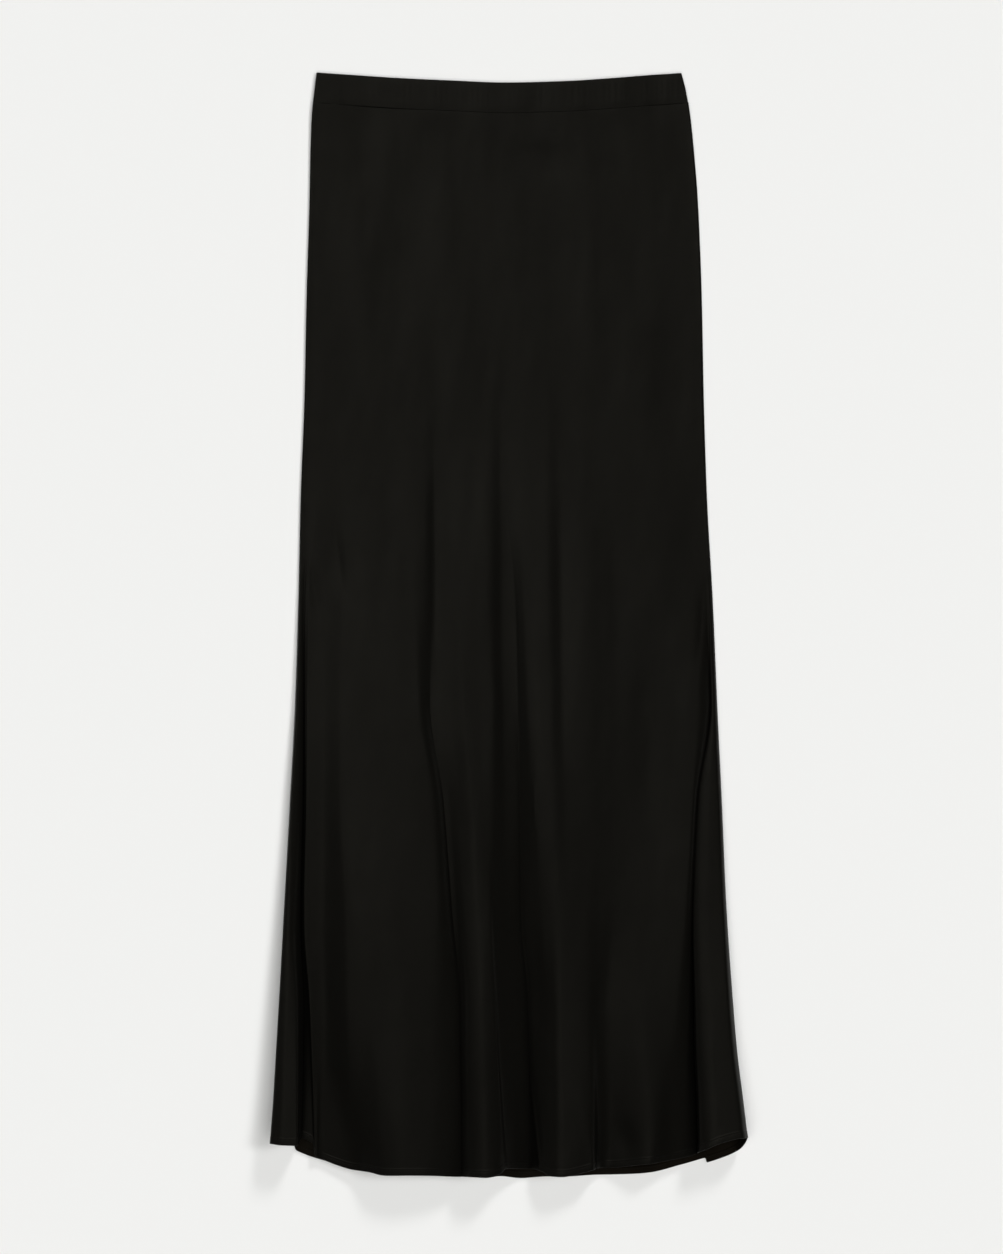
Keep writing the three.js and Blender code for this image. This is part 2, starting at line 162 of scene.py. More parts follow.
# Creases in the front: from (x, down) to (x, down), bow to the right, half width, lean, point, depth.
# Lean is how many times wider the crease is on its left, or on its side towards the hem.
# Point is 2 for a round-bottomed crease and nearer 1 for a pinched one. A negative depth is a ridge.
FRONT_CREASES = [
    ("valley_1_top", -67.5, 290, -63, 620, -1.5, 14.0, 0.42, 2.0, 1.8),
    ("valley_2_branch", -7, 250, -2, 730, -1.0, 14.5, 0.45, 2.0, 1.7),
    ("valley_3", 46, 270, 54, 790, -1.0, 15.5, 0.45, 2.0, 2.3),
    ("valley_4", 134, 470, 138, 760, -3.0, 20.0, 1.0, 2.0, 3.2),
    ("valley_4_side", 98, 760, 78, 900, 1.0, 11.0, 1.0, 2.0, 1.2),
    ("valley_5_start", -161, 400, -149, 490, -1.5, 5.0, 1.6, 1.4, 1.2),
    ("side_tuck_left", -184, 448, -173, 512, 1.0, 3.4, 1.4, 1.4, 0.9),
    ("side_tuck_right", 178, 470, 172, 560, 1.0, 3.5, 1.0, 1.4, 0.8),
    ("waist_wrinkle_left", -152, 33, -80, 35, 1.5, 3.6, 6.0, 1.6, 0.7),
    ("waist_wrinkle_right", 120, 30, 166, 29, 0.6, 2.4, 4.0, 1.6, 0.3),
    ("hip_dimple", 34, 68, 54, 98, 0.0, 3.4, 3.0, 1.6, 0.6),
    ("hip_smudge", -12, 77, 72, 74, 2.5, 7.0, 4.0, 1.6, 0.8),
    ("hip_line_left", -118, 150, -124, 262, 2.0, 9.0, 1.5, 2.0, 0.3),
    ("thigh_line_mid", -68, 205, -66, 300, 1.0, 8.0, 1.5, 2.0, 0.3),
    ("thigh_line_right", 96, 190, 104, 330, 2.0, 11.0, 1.5, 2.0, 0.3),
    ("flute_2_line", 23, 648, 24, 696, 0.0, 1.6, 1.0, 2.0, -0.5),
    ("flute_2_sag", 44, 820, 52, 1000, 1.0, 8.0, 1.0, 2.0, 0.6),
    ("crest_left_sag", -118, 770, -104, 960, 2.0, 11.0, 1.0, 2.0, 0.8),
    ("crest_right_dent", 100, 955, 112, 1012, 2.0, 9.0, 1.0, 2.0, 1.2),
    ("dip_left_fold", -160, 905, -150, 1000, 1.0, 8.0, 1.0, 2.0, 0.8),
    ("flute_1_edge", -16, 830, 4, 1100, 0.0, 1.0, 1.6, 2.0, -0.5),
    ("flute_2_edge", 19, 910, 36, 1080, 0.0, 1.2, 1.5, 2.0, -0.7),
    ("flute_2_far_edge", 63, 900, 92, 1080, -1.5, 2.0, 1.2, 2.0, -0.6),
    ("edge_left_rim", -175, 905, -177.5, 1060, 0.0, 0.9, 1.5, 2.0, -1.0),
]

# Fold lines that are pinched, not rounded.
PINCHED = ("valley_left", "valley_1", "valley_2_right", "valley_right")


# ---------------------------------------------------------------- curves
def smooth_through(xs, ys, pinched=(), pinch=1.0):
    """A smooth curve through the points that never overshoots them. It turns a corner at the pinched ones."""
    xs, ys = np.asarray(xs, float), np.asarray(ys, float)
    h = np.diff(xs)
    slope = np.diff(ys) / h
    m = np.zeros(len(xs))
    for i in range(1, len(xs) - 1):
        if slope[i - 1] * slope[i] > 0:
            a, b = 2 * h[i] + h[i - 1], h[i] + 2 * h[i - 1]
            m[i] = (a + b) / (a / slope[i - 1] + b / slope[i])
    m[0], m[-1] = slope[0], slope[-1]
    start, end = m[:-1].copy(), m[1:].copy()
    for i in pinched:
        end[i - 1] = m[i] + pinch * (1.25 * slope[i - 1] - m[i])
        start[i] = m[i] + pinch * (1.25 * slope[i] - m[i])

    def at(x):
        x = np.clip(np.asarray(x, float), xs[0], xs[-1])
        i = np.clip(np.searchsorted(xs, x, side="right") - 1, 0, len(h) - 1)
        t = (x - xs[i]) / h[i]
        t2, t3 = t * t, t * t * t
        return (
            (2 * t3 - 3 * t2 + 1) * ys[i] + (t3 - 2 * t2 + t) * h[i] * start[i]
            + (3 * t2 - 2 * t3) * ys[i + 1] + (t3 - t2) * h[i] * end[i]
        )

    return at


def smoothstep(t):
    t = np.clip(t, 0, 1)
    return t * t * (3 - 2 * t)


left_seam = smooth_through([r[0] for r in OUTLINE], [r[1] for r in OUTLINE])
right_seam = smooth_through([r[0] for r in OUTLINE], [r[2] for r in OUTLINE])
waist_dip = smooth_through([r[0] for r in WAIST_DIP], [r[1] for r in WAIST_DIP])


def fold_lines(table, stations):
    lines = []
    for name, *rest in table:
        xs, (start, calf, low, lift_hem, hem, columns) = rest[:-6], rest[-6:]
        downs = [*stations, hem]
        if name == "seam_left":
            share = lambda d: np.zeros_like(d)
        elif name == "seam_right":
            share = lambda d: np.ones_like(d)
        else:
            shares = [(x - left_seam(d)) / (right_seam(d) - left_seam(d)) for x, d in zip(xs, downs)]
            share = smooth_through([0, *downs], [shares[0], *shares])
        lift = smooth_through([0, start, 669, 853, hem], [0, 0, calf, low, lift_hem])
        lines.append((name, hem, columns, share, lift))
    return lines


def panel_points(table, stations, rows, level):
    """Points of a panel's inner face: rows down it, columns across it. Returns points, u and v."""
    lines = fold_lines(table, stations)
    us = []
    for i, line in enumerate(lines[:-1]):
        us += [i + s / line[2] for s in range(line[2])]
    us = np.array(us + [len(lines) - 1.0])
    marks = np.arange(len(lines), dtype=float)
    knots = np.zeros((len(rows), len(lines), 3))
    v = np.asarray(rows)
    for k, (name, hem, columns, share, lift) in enumerate(lines):
        d0 = np.array([BAND_DEPTH])
        x0 = (left_seam(d0) + share(d0) * (right_seam(d0) - left_seam(d0)))[0]
        top = BAND_DEPTH + 0.05 + float(waist_dip(x0))
        d = top + v * (hem - top)
        knots[:, k, 0] = left_seam(d) + share(d) * (right_seam(d) - left_seam(d))
        knots[:, k, 1] = TOP_Y - d
        knots[:, k, 2] = level(d) + lift(d)
    pinched = [k for k, line in enumerate(lines) if line[0] in PINCHED]
    points = np.zeros((len(rows), len(us), 3))
    for j in range(len(rows)):
        pinch = float(smoothstep((v[j] * 990 - 500) / 160))
        for axis in range(3):
            points[j, :, axis] = smooth_through(marks, knots[j, :, axis], pinched if axis == 2 else (), pinch)(us)
    return points, us, v


def normals_of(p):
    """Unit normals of a grid of points, pointing up."""
    across = np.gradient(p, axis=1)
    down = -np.gradient(p, axis=0)
    n = np.cross(across, down)
    n /= np.maximum(np.linalg.norm(n, axis=2, keepdims=True), 1e-9)
    return n


def waves(seed, count, shortest, longest, stretch=1.0):
    """Low uneven swells: a sum of seeded sines, about -1 to 1. stretch above 1 draws them out along the skirt."""
    rng = np.random.RandomState(seed)
    parts = []
    for _ in range(count):
        angle, phase = rng.uniform(0, 2 * math.pi, 2)
        length = shortest * (longest / shortest) ** rng.uniform()
        k = 2 * math.pi / length
        parts.append((k * math.cos(angle), k * math.sin(angle) / stretch, phase, rng.uniform(0.6, 1.0)))

    def at(x, y):
        total = 0
        for kx, ky, phase, size in parts:
            total = total + size * np.sin(kx * x + ky * y + phase)
        return total / math.sqrt(count)

    return at


def crease_depth(table, x, down):
    total = np.zeros_like(x)
    for name, x0, d0, x1, d1, bow, half, lean, point, depth in table:
        ex, ed = x1 - x0, d1 - d0
        length = math.hypot(ex, ed)
        ex, ed = ex / length, ed / length
        s = ((x - x0) * ex + (down - d0) * ed) / length
        q = (x - x0) * ed - (down - d0) * ex - bow * 4 * s * (1 - s)
        window = np.where((s > 0) & (s < 1), np.sin(math.pi * np.clip(s, 0, 1)) ** 1.3, 0)
        total = total + depth * window * np.exp(-(np.abs(q / np.where(q < 0, half * lean, half)) ** point))
    return total


# ---------------------------------------------------------------- meshes
def mesh_object(name, vertices, faces, smooth=True, flat_faces=(), materials=(), material_of=None):
    mesh = bpy.data.meshes.new(name)
    mesh.from_pydata([tuple(v) for v in vertices], [], faces)
    mesh.validate()
    for m in materials:
        mesh.materials.append(m)
    flags = np.full(len(mesh.polygons), smooth)
    for f in flat_faces:
        flags[f] = False
    mesh.polygons.foreach_set("use_smooth", flags)
    if material_of is not None:
        mesh.polygons.foreach_set("material_index", np.asarray(material_of, dtype=np.int32))
    mesh.update()
    obj = bpy.data.objects.new(name, mesh)
    bpy.context.scene.collection.objects.link(obj)
    return obj


def rim_between(a, b, away, steps=3):
    """Rows that round the edge between row a and row b, bulging along away."""
    centre, half = (a + b) / 2, (a - b) / 2
    radius = np.linalg.norm(half, axis=1, keepdims=True)
    rows = []
    for k in range(1, steps + 1):
        t = math.pi * k / (steps + 1)
        rows.append(centre + half * math.cos(t) + away * radius * math.sin(t))
    return rows


def unit(a):
    return a / np.maximum(np.linalg.norm(a, axis=-1, keepdims=True), 1e-9)


def shell(name, outer, inner, materials, hem_rim=3, top_rim=2):
    """A closed cloth shell from its outer and inner faces, rounded over at the hem and the top."""
    ring = [outer[j] for j in range(len(outer))]
    ring += rim_between(outer[-1], inner[-1], unit(outer[-1] - outer[-2]), hem_rim)
    split = len(ring)
    ring += [inner[j] for j in range(len(inner) - 1, -1, -1)]
    ring += rim_between(inner[0], outer[0], unit(outer[0] - outer[1]), top_rim)
    ring = np.array(ring)
    n, m = ring.shape[:2]
    # up says whether the outer face looks up, so that faces can be wound outwards
    up = np.mean(outer[..., 2] - inner[..., 2]) > 0
    faces, mats = [], []
    for j in range(n):
        k = (j + 1) % n
        inside = 1 if split <= j < split + len(inner) - 1 else 0
        for i in range(m - 1):
            a, b, c, d = j * m + i, k * m + i, k * m + i + 1, j * m + i + 1
            faces.append((a, b, c, d) if up else (a, d, c, b))
            mats.append(inside)
    caps = []
    for i in (0, m - 1):
        flip = (i == 0) == up
        for j in range(len(outer) - 1):
            o0, o1 = j * m + i, (j + 1) * m + i
            i0, i1 = (split + len(inner) - 1 - j) * m + i, (split + len(inner) - 2 - j) * m + i
            caps.append(len(faces))
            faces.append((o0, i0, i1, o1) if flip else (o0, o1, i1, i0))
            mats.append(0)
        for first, last in ((len(outer) - 1, split), (split + len(inner) - 1, n)):
            loop = [(j % n) * m + i for j in range(first, last + 1)]
            caps.append(len(faces))
            faces.append(tuple(loop[::-1]) if flip else tuple(loop))
            mats.append(0)
    return mesh_object(name, ring.reshape(-1, 3) * MM, faces, True, (), materials, mats)


# ---------------------------------------------------------------- rows of the panels
def panel_rows(length, spacing):
    """Shares of the way down, close together at the waist seam and the hem."""
    at_top = [0, 0.5, 1.2, 2.2, 3.5, 5, 7, 9.5, 12.5, 16, 20]
    at_hem = [24, 20.3, 17, 14.2, 12, 10.2, 8.8, 7.7, 6.9, 6.35, 5.9, 5.4, 4.9, 4.4, 3.8, 3.0, 2.2, 1.5, 0.9, 0.4, 0]
    middle_from, middle_to = at_top[-1], length - at_hem[0]
    count = round((middle_to - middle_from) / spacing)
    middle = [middle_from + (middle_to - middle_from) * k / count for k in range(1, count)]
    return np.array(at_top + middle + [length - s for s in at_hem]) / length


def back_level(d):
    return np.full_like(d, CLOTH_WALL)


def front_level(d):
    return CLOTH_WALL + SEAM_GAP + (BAND_WALL - CLOTH_WALL) * (1 - smoothstep((d - BAND_DEPTH) / BAND_EASE))


def distances(points):
    """How far each point of a panel is from its hem, its waist seam and its nearer side seam, in mm along the cloth."""
    down = np.linalg.norm(np.diff(points, axis=0), axis=2)
    from_top = np.vstack([np.zeros(points.shape[1]), np.cumsum(down, axis=0)])
    from_hem = from_top[-1] - from_top
    over = np.linalg.norm(np.diff(points, axis=1), axis=2)
    from_left = np.hstack([np.zeros((len(points), 1)), np.cumsum(over, axis=1)])
    from_right = from_left[:, -1:] - from_left
    return from_top, from_hem, from_left, from_right


def puckers(seed, along, shortest, longest):
    rng = np.random.RandomState(seed)
    total = 0
    for _ in range(9):
        length = shortest * (longest / shortest) ** rng.uniform()
        total = total + rng.uniform(0.5, 1.0) * np.sin(2 * math.pi * along / length + rng.uniform(0, 6.28))
    return total / 3.0


# ---------------------------------------------------------------- materials
def node(tree, kind, **values):
    n = tree.nodes.new(kind)
    for key, value in values.items():
        setattr(n, key, value)
    return n


def cloth_material(name, dark, light, roughness, specular, sheen, thread=0.00036, bump=0.16):
    """Fine crepe on the bias: threads cross at 45 degrees, with an uneven grain and faint slubs."""
    mat = bpy.data.materials.new(name)
    mat.use_nodes = True
    t = mat.node_tree
    t.nodes.clear()
    out = node(t, "ShaderNodeOutputMaterial")
    bsdf = node(t, "ShaderNodeBsdfPrincipled")
    t.links.new(bsdf.outputs["BSDF"], out.inputs["Surface"])
    coord = node(t, "ShaderNodeTexCoord")
    # threads
    heights = []
    for turn in (45, -45):
        place = node(t, "ShaderNodeMapping")
        place.inputs["Rotation"].default_value = (0, 0, math.radians(turn))
        t.links.new(coord.outputs["Object"], place.inputs["Vector"])
        wave = node(t, "ShaderNodeTexWave", wave_type="BANDS", bands_direction="X", wave_profile="SIN")
        wave.inputs["Scale"].default_value = 1 / (thread * 20 / (2 * math.pi) * 1.0) / 1.0
        wave.inputs["Distortion"].default_value = 1.6
        wave.inputs["Detail"].default_value = 1.0
        wave.inputs["Detail Scale"].default_value = 1.4
        t.links.new(place.outputs["Vector"], wave.inputs["Vector"])
        heights.append(wave.outputs["Fac"])
    weave = node(t, "ShaderNodeMath", operation="MAXIMUM")
    t.links.new(heights[0], weave.inputs[0])
    t.links.new(heights[1], weave.inputs[1])
    # crepe grain
    grain = node(t, "ShaderNodeTexNoise")
    grain.inputs["Scale"].default_value = 1150
    grain.inputs["Detail"].default_value = 3
    grain.inputs["Roughness"].default_value = 0.6
    t.links.new(coord.outputs["Object"], grain.inputs["Vector"])
    mix = node(t, "ShaderNodeMix", data_type="FLOAT")
    mix.inputs["Factor"].default_value = 0.55
    t.links.new(weave.outputs[0], mix.inputs["A"])
    t.links.new(grain.outputs["Fac"], mix.inputs["B"])
    fine = node(t, "ShaderNodeBump")
    fine.inputs["Strength"].default_value = bump
    fine.inputs["Distance"].default_value = 0.0002
    t.links.new(mix.outputs["Result"], fine.inputs["Height"])
    # soft hand-scale unevenness
    swell = node(t, "ShaderNodeTexNoise")
    swell.inputs["Scale"].default_value = 62
    swell.inputs["Detail"].default_value = 4
    swell.inputs["Roughness"].default_value = 0.5
    t.links.new(coord.outputs["Object"], swell.inputs["Vector"])
    broad = node(t, "ShaderNodeBump")
    broad.inputs["Strength"].default_value = 0.05
    broad.inputs["Distance"].default_value = 0.002
    t.links.new(swell.outputs["Fac"], broad.inputs["Height"])
    t.links.new(fine.outputs["Normal"], broad.inputs["Normal"])
    t.links.new(broad.outputs["Normal"], bsdf.inputs["Normal"])
    # colour: faint mottling, with streaks down the skirt
    streak_place = node(t, "ShaderNodeMapping")
    streak_place.inputs["Scale"].default_value = (34, 5, 34)
    t.links.new(coord.outputs["Object"], streak_place.inputs["Vector"])
    streak = node(t, "ShaderNodeTexNoise")
    streak.inputs["Scale"].default_value = 1.0
    streak.inputs["Detail"].default_value = 5
    streak.inputs["Roughness"].default_value = 0.55
    t.links.new(streak_place.outputs["Vector"], streak.inputs["Vector"])
    ramp = node(t, "ShaderNodeValToRGB")
    ramp.color_ramp.elements[0].position = 0.30
    ramp.color_ramp.elements[0].color = (*dark, 1)
    ramp.color_ramp.elements[1].position = 0.72
    ramp.color_ramp.elements[1].color = (*light, 1)
    t.links.new(streak.outputs["Fac"], ramp.inputs["Fac"])
    fleck = node(t, "ShaderNodeMix", data_type="RGBA", blend_type="MULTIPLY")
    fleck.inputs["Factor"].default_value = 0.35
    t.links.new(ramp.outputs["Color"], fleck.inputs["A"])
    spots = node(t, "ShaderNodeValToRGB")
    spots.color_ramp.elements[0].position = 0.25
    spots.color_ramp.elements[0].color = (0.55, 0.55, 0.55, 1)
    spots.color_ramp.elements[1].position = 0.7
    spots.color_ramp.elements[1].color = (1, 1, 1, 1)
    t.links.new(grain.outputs["Fac"], spots.inputs["Fac"])
    t.links.new(spots.outputs["Color"], fleck.inputs["B"])
    t.links.new(fleck.outputs["Result"], bsdf.inputs["Base Color"])
    # roughness follows the same streaks
    rough = node(t, "ShaderNodeMapRange")
    rough.inputs["From Min"].default_value = 0.3
    rough.inputs["From Max"].default_value = 0.7
    rough.inputs["To Min"].default_value = roughness + 0.05
    rough.inputs["To Max"].default_value = roughness - 0.05
    t.links.new(streak.outputs["Fac"], rough.inputs["Value"])
    t.links.new(rough.outputs["Result"], bsdf.inputs["Roughness"])
    bsdf.inputs["Specular IOR Level"].default_value = specular
    bsdf.inputs["Specular Tint"].default_value = (1.0, 0.955, 0.82, 1)
    bsdf.inputs["Sheen Weight"].default_value = sheen
    bsdf.inputs["Sheen Roughness"].default_value = 0.16
    bsdf.inputs["Sheen Tint"].default_value = (0.9, 0.86, 0.8, 1)
    mat.diffuse_color = (*light, 1)
    return mat


crepe = cloth_material("crepe", (0.0021, 0.00197, 0.00162), (0.0029, 0.00273, 0.00227), 0.43, 0.122, 0.006)
crepe_inside = cloth_material("crepe_inside", (0.0034, 0.0026, 0.0017), (0.0046, 0.0035, 0.0023), 0.6, 0.06, 0.006)
crepe_band = cloth_material("crepe_band", (0.0021, 0.00197, 0.00162), (0.0029, 0.00273, 0.00227), 0.43, 0.122, 0.006)

thread = bpy.data.materials.new("thread")
thread.use_nodes = True
_t = thread.node_tree
_b = _t.nodes["Principled BSDF"]
_c = node(_t, "ShaderNodeTexCoord")
_w = node(_t, "ShaderNodeTexNoise")
_w.inputs["Scale"].default_value = 2600
_t.links.new(_c.outputs["Object"], _w.inputs["Vector"])
_r = node(_t, "ShaderNodeValToRGB")
_r.color_ramp.elements[0].color = (0.0022, 0.0020, 0.0017, 1)
_r.color_ramp.elements[1].color = (0.0042, 0.0038, 0.0032, 1)
_t.links.new(_w.outputs["Fac"], _r.inputs["Fac"])
_t.links.new(_r.outputs["Color"], _b.inputs["Base Color"])
_b.inputs["Roughness"].default_value = 0.42
_b.inputs["Specular IOR Level"].default_value = 0.09


# ---------------------------------------------------------------- the panels
def hem_profile(s):
    """0 on the cloth, 1 on the turned hem, for a distance s from the hem's edge."""
    return 1 - smoothstep((s - HEM_TURN) / 0.7 + 0.5)


def build_front():
    rows = panel_rows(976.0, 5.6)
    p, us, vs = panel_points(FRONT_FOLDS, STATIONS, rows, front_level)
    from_top, from_hem, from_left, from_right = distances(p)
    side = np.minimum(from_left, from_right)
    x, down = p[..., 0], TOP_Y - p[..., 1]
    # the laid cloth isn't pressed: it stands a little off the back between the waist and the knee
    loft = 3.4 * smoothstep((down - 160) / 480) * (1 - 0.85 * smoothstep((down - 600) / 260)) + 0.5
    inland = 0.55 * smoothstep((side - 0.1) / 1.8) + 0.45 * smoothstep((side - 1) / 60)
    p[..., 2] += loft * inland * smoothstep((from_top - 4) / 40)
    swell = waves(11, 14, 48, 170, 2.2)(x, p[..., 1]) * 0.34 + waves(12, 16, 16, 46, 1.8)(x, p[..., 1]) * 0.07
    calm = smoothstep(side / 26) * smoothstep(from_top / 24)
    n = normals_of(p)
    push = swell * calm - crease_depth(FRONT_CREASES, x, down) * smoothstep(side / 6)
    # the top edge reaches the waistband
    p[..., 1] += 0.7 * np.exp(-from_top / 1.5)
    # puckers: along the hem stitching, the side seams and the waist seam
    arc = from_left
    push = push + 0.28 * puckers(21, arc, 11, 34) * np.exp(-from_hem / 11.0) * (1 - np.exp(-from_hem / 2.0) * 0.5)
    push = push + 0.22 * puckers(22, down, 13, 42) * np.exp(-side / 7.0) * smoothstep(side / 2.0)
    push = push + 0.05 * puckers(23, x, 9, 24) * np.exp(-from_top / 9.0)
    p = p + n * push[..., None]
    n = normals_of(p)
    near_side = 1 - smoothstep(side / 6.0)
    near_band = 1 - smoothstep(from_top / 34.0)
    hem = hem_profile(from_hem)
    groove = 0.16 * np.exp(-((from_hem - STITCH_UP) / 0.55) ** 2)
    ditch = 0.02 * np.exp(-((from_top) / 0.7) ** 2)
    # offsets from the CAD's inner face: the outer face, then the inner
    outer = 0.25 + 0.25 * near_side + 0.45 * near_band + 0.30 * hem - groove - ditch
    inner = outer - SHEET - 0.55 * hem * (1 - near_side)
    inner = np.where(near_side > 0, inner * (1 - near_side) + (-0.10) * near_side, inner)
    # the very edge of the side seam is eased over
    outer = outer - 0.18 * (1 - smoothstep(side / 0.9))
    return p, n, p + n * outer[..., None], p + n * inner[..., None], (from_top, from_hem, from_left, side)


def build_back():
    rows = panel_rows(980.0, 6.6)
    p, us, vs = panel_points(BACK_FOLDS, BACK_STATIONS, rows, back_level)
    from_top, from_hem, from_left, from_right = distances(p)
    side = np.minimum(from_left, from_right)
    n = normals_of(p)
    x, down = p[..., 0], TOP_Y - p[..., 1]
    near_side = 1 - smoothstep(side / 6.0)
    hem = hem_profile(from_hem)
    # the underside stays flat on the surface where it rests
    under = -CLOTH_WALL * (1 - near_side) - 0.50 * near_side
    upper = under + SHEET + 0.55 * hem * (1 - near_side)
    upper = upper * (1 - near_side) + 0.10 * near_side
    under = under + 0.18 * (1 - smoothstep(side / 0.9))
    free = np.clip((p[..., 2] - CLOTH_WALL) / 2.0, 0, 1)
    ripple = 0.2 * puckers(31, from_left, 12, 36) * np.exp(-from_hem / 11.0)
    ripple = np.maximum(ripple, 0) * 0.8 + ripple * free * 0.2
    swell = np.maximum(waves(32, 12, 60, 180, 2.0)(x, p[..., 1]), 0) * 0.25 * smoothstep(side / 20)
    push = (ripple + swell)[..., None]
    groove = 0.12 * np.exp(-((from_hem - STITCH_UP) / 0.55) ** 2)
    return p, n, p + n * (under[..., None] + push + groove[..., None]), p + n * (upper[..., None] + push - groove[..., None]), (from_top, from_hem, from_left, side)


fp, fn, f_out, f_in, f_dist = build_front()
front = shell("front_cloth", f_out, f_in, [crepe, crepe_inside])


def keep_sharp(obj, columns, rows, width):
    """Mark the bottoms of the narrow valleys sharp, so that no bright line is shaded along them."""
    wanted = {(j * width + i, (j + 1) * width + i) for i in columns for j in rows}
    for edge in obj.data.edges:
        if tuple(sorted(edge.vertices)) in wanted:
            edge.use_edge_sharp = True


valley_columns, column_at = [], 0
for line in fold_lines(FRONT_FOLDS, STATIONS):
    if line[0] in PINCHED:
        valley_columns.append(column_at)
    column_at += line[2]
first_sharp = int(np.argmax(TOP_Y - fp[:, valley_columns[1], 1] > 540))
keep_sharp(front, valley_columns, range(first_sharp, len(f_out) - 1), f_out.shape[1])
bp_, bn, b_under, b_upper, b_dist = build_back()
back = shell("back_cloth", b_under, b_upper, [crepe, crepe_inside])


# ---------------------------------------------------------------- the waistband
def build_band(name, low, high, up, seed):
    """A soft band over elastic, rounded over at the top, with small uneven gathers."""
    nu, nv = 340, 20
    vs = 0.5 - 0.5 * np.cos(np.linspace(0, math.pi, nv))
    vs = 0.35 * np.linspace(0, 1, nv) + 0.65 * vs
    share = np.linspace(0, 1, nu)
    share = 0.8 * share + 0.2 * (0.5 - 0.5 * np.cos(math.pi * share))
    d = vs[:, None] * BAND_DEPTH * np.ones((1, nu))
    x = left_seam(d) + share[None, :] * (right_seam(d) - left_seam(d))
    y = TOP_Y - d - waist_dip(x)
    edge = np.minimum(d, BAND_DEPTH - d)
    side = np.minimum(share, 1 - share)[None, :] * 337.0
    rng = np.random.RandomState(seed)
    gather = puckers(seed, x, 4.5, 13) * 0.11 + puckers(seed + 1, x, 18, 60) * 0.10
    gather = gather * (0.35 + 0.65 * smoothstep(edge / 6.0))
    swell = waves(seed + 2, 10, 24, 90)(x, y) * 0.10
    crown = smoothstep(edge / 5.5)
    round_top = np.sqrt(np.clip(1 - (1 - np.clip(d / 1.2, 0, 1)) ** 2, 0, 1))
    at_side = np.sqrt(np.clip(1 - (1 - np.clip(side / 1.4, 0, 1)) ** 2, 0, 1))
    body = high - low
    if up:
        face = low + body * (0.37 + 0.06 * crown) + 0.5 * (gather + swell) * crown
        face = low + (face - low) * (0.45 + 0.55 * round_top) * (0.5 + 0.5 * at_side)
        face = face - 0.03 * (1 - smoothstep((BAND_DEPTH - d) / 0.6))
        other = np.full_like(face, low + 0.05)
        other = np.minimum(other, face - 0.25)
        outer = np.stack([x, y, face], axis=2)
        inner = np.stack([x, y, other], axis=2)
    else:
        # the back band rests on the surface
        face = low + (0.02 + 0.55 * (1 - round_top) + 0.45 * (1 - at_side)) * np.ones_like(x)
        other = low + body * (0.62 + 0.30 * crown) + (gather + swell) * 0.4 * crown
        other = np.minimum(other, high + 0.2)
        other = np.maximum(other, face + 0.25)
        outer = np.stack([x, y, face], axis=2)
        inner = np.stack([x, y, other], axis=2)
    return shell(name, outer, inner, [crepe_band, crepe_band], hem_rim=1, top_rim=3)


band_front = build_band("waistband_front_cloth", BAND_WALL + SEAM_GAP, 2 * BAND_WALL + SEAM_GAP, True, 41)
band_back = build_band("waistband_back_cloth", 0.0, BAND_WALL, False, 51)


# ---------------------------------------------------------------- stitching
def stitch_row(face, normal, distance, at, gap_from, length=2.1, gap=0.75, radius=0.17):
    """Capsules sunk half into the cloth, along the line a given distance from the hem, with uneven lengths."""
    rng = np.random.RandomState(int(distance * 100) + gap_from)
    # find the line: in each column, the place where the distance from the hem is right
    line, norms = [], []
    for i in range(face.shape[1]):
        s = at[:, i]
        line.append([np.interp(-distance, -s, face[:, i, k]) for k in range(3)])
        norms.append([np.interp(-distance, -s, normal[:, i, k]) for k in range(3)])
    line, norms = np.array(line), unit(np.array(norms))
    run = np.concatenate([[0], np.cumsum(np.linalg.norm(np.diff(line, axis=0), axis=1))])
    vertices, faces = [], []
    here = 2.5
    while here < run[-1] - 4:
        size = length * rng.uniform(0.92, 1.06)
        a = np.array([np.interp(here, run, line[:, k]) for k in range(3)])
        b = np.array([np.interp(here + size, run, line[:, k]) for k in range(3)])
        n = unit(np.array([np.interp(here + size / 2, run, norms[:, k]) for k in range(3)]))
        axis = unit(b - a)
        side = unit(np.cross(n, axis))
        base = len(vertices)
        for t, r, sink in ((0.0, 0.35, -0.12), (0.14, 0.9, 0.02), (0.5, 1.0, 0.10), (0.86, 0.9, 0.02), (1.0, 0.35, -0.12)):
            centre = a + (b - a) * t + n * sink
            for k in range(6):
                angle = 2 * math.pi * k / 6
                vertices.append(centre + radius * r * (side * math.cos(angle) + n * math.sin(angle)))
        for ring in range(4):
            for k in range(6):
                q = (k + 1) % 6
                faces.append((base + ring * 6 + k, base + ring * 6 + q, base + (ring + 1) * 6 + q, base + (ring + 1) * 6 + k))
        faces.append(tuple(base + k for k in range(5, -1, -1)))
        faces.append(tuple(base + 24 + k for k in range(6)))
        here += size + gap
    return vertices, faces


def stitches(name, rows):
    vertices, faces = [], []
    for v, f in rows:
        base = len(vertices)
        vertices += v
        faces += [tuple(base + i for i in face) for face in f]
    return mesh_object(name, np.array(vertices) * MM, faces, True, (), [thread])


front_stitches = stitches(
    "front_hem_stitches",
    [stitch_row(f_out, fn, STITCH_UP, f_dist[1], 1), stitch_row(f_in, -fn, STITCH_UP, f_dist[1], 2)],
)
back_stitches = stitches(
    "back_hem_stitches",
    [stitch_row(b_upper, bn, STITCH_UP, b_dist[1], 3)],
)

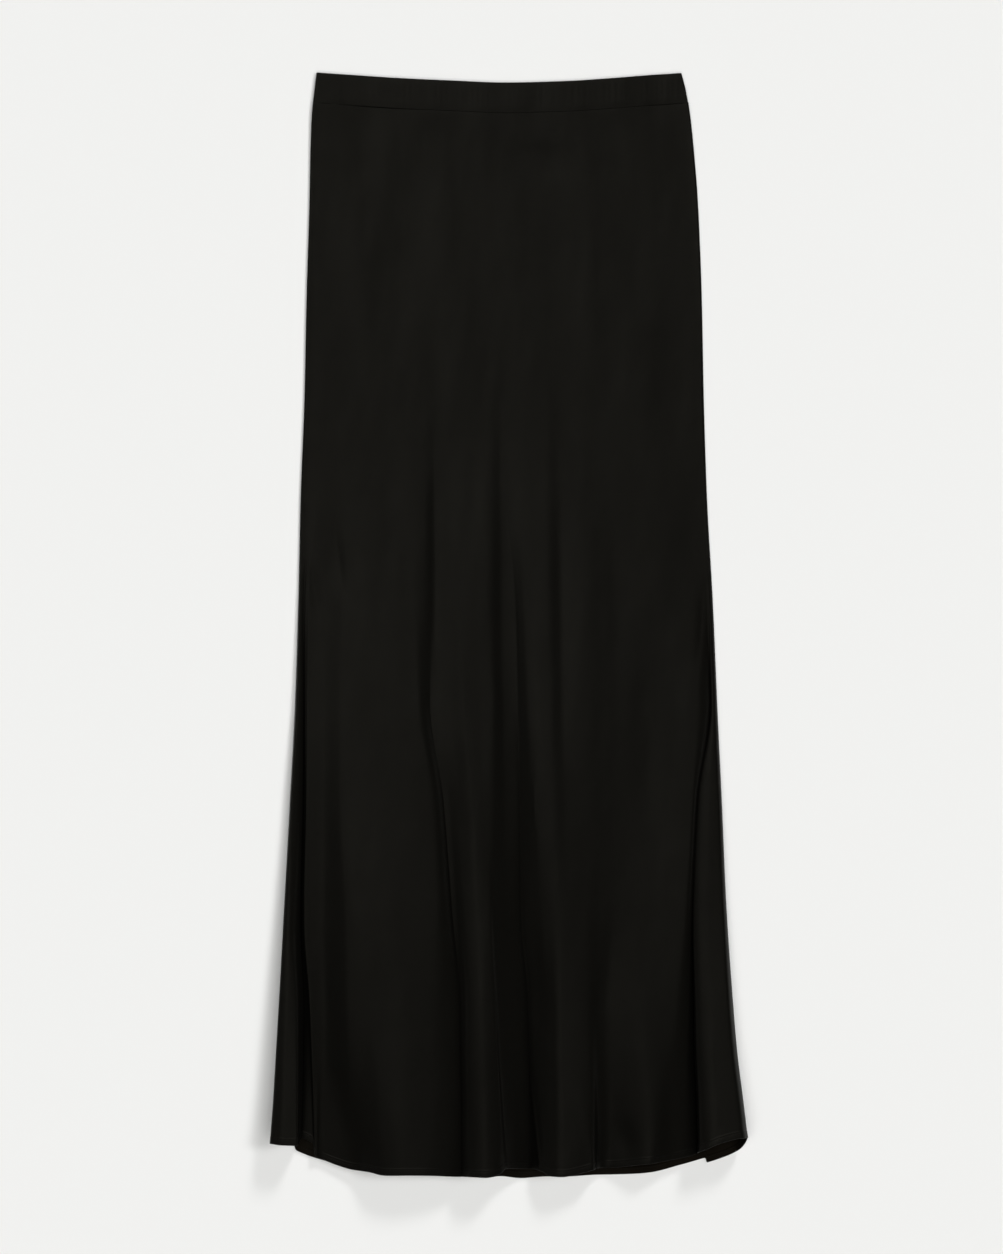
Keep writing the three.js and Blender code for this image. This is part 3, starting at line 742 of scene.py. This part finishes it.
# ---------------------------------------------------------------- floor and light
bpy.ops.mesh.primitive_plane_add(size=24, location=(0, 0, -0.0004))
floor = bpy.context.object
floor.name = "floor"
paper = bpy.data.materials.new("paper")
paper.use_nodes = True
_p = paper.node_tree.nodes["Principled BSDF"]
_p.inputs["Base Color"].default_value = (0.812, 0.812, 0.806, 1)
_p.inputs["Roughness"].default_value = 0.9
_p.inputs["Specular IOR Level"].default_value = 0.1
floor.data.materials.append(paper)
floor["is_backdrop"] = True

world = bpy.data.worlds.new("world")
bpy.context.scene.world = world
world.use_nodes = True
_bg = world.node_tree.nodes["Background"]
_bg.inputs["Color"].default_value = (1.0, 0.992, 0.972, 1)
_bg.inputs["Strength"].default_value = 0.03


def sun(name, strength, spread, azimuth, elevation, colour):
    """Soft light from azimuth (0 is +X, 90 is +Y) and elevation, in degrees."""
    data = bpy.data.lights.new(name, "SUN")
    data.energy = strength
    data.angle = math.radians(spread)
    data.color = colour
    obj = bpy.data.objects.new(name, data)
    a, e = math.radians(azimuth), math.radians(elevation)
    from mathutils import Vector

    toward = Vector((math.cos(a) * math.cos(e), math.sin(a) * math.cos(e), math.sin(e)))
    obj.rotation_mode = "QUATERNION"
    obj.rotation_quaternion = toward.to_track_quat("Z", "Y")
    bpy.context.scene.collection.objects.link(obj)
    return obj


# one soft box over the head end gives the cloth its sheen; the rest are matt screens with no glint of their own
sun("light_above", 0.80, 44, 117, 64, (1.0, 1.0, 0.99)).visible_diffuse = False
sun("light_ceiling", 2.20, 70, 270, 73, (1.0, 1.0, 0.985)).visible_glossy = False
sun("light_right", 0.98, 15, 14, 46, (1.0, 1.0, 1.0)).visible_glossy = False
sun("light_head", 1.12, 11, 65, 27.5, (1.0, 1.0, 1.0)).visible_glossy = False
# low glancing lights that only show as a gleam on the turned edges
sun("light_rim_right", 0.16, 22, 5, 8, (1.0, 1.0, 1.0)).visible_diffuse = False
sun("light_rim_left", 0.18, 34, 172, 14, (1.0, 1.0, 1.0)).visible_diffuse = False
bpy.context.scene.view_settings.view_transform = "Standard"
bpy.context.scene.view_settings.look = "None"

# ---------------------------------------------------------------- what stands for what
for piece, name, material_slot in (
    (front, "front_panel", "crepe"),
    (back, "back_panel", "crepe"),
    (band_front, "waistband_front", "waistband"),
    (band_back, "waistband_back", "waistband"),
):
    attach(piece, "root")
    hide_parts(name)
for piece in (front_stitches, back_stitches):
    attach(piece, "root")


def one_face(face):
    """Area and size of a face in metres: area, mean length, widest width."""
    a = face[:-1, :-1], face[1:, :-1], face[1:, 1:], face[:-1, 1:]
    area = (np.linalg.norm(np.cross(a[2] - a[0], a[3] - a[1]), axis=2) / 2).sum() * MM * MM
    width = np.linalg.norm(np.diff(face, axis=1), axis=2).sum(axis=1).max() * MM
    length = np.linalg.norm(np.diff(face, axis=0), axis=2).sum(axis=0).max() * MM
    return area, width, length


for label, face in (("front", f_out), ("back", b_upper)):
    print("cut", label, "area %.4f width %.4f length %.4f" % one_face(face))

for piece in (front, back, band_front, band_back, front_stitches, back_stitches):
    triangles = sum(len(p.vertices) - 2 for p in piece.data.polygons)
    print("triangles", piece.name, triangles)
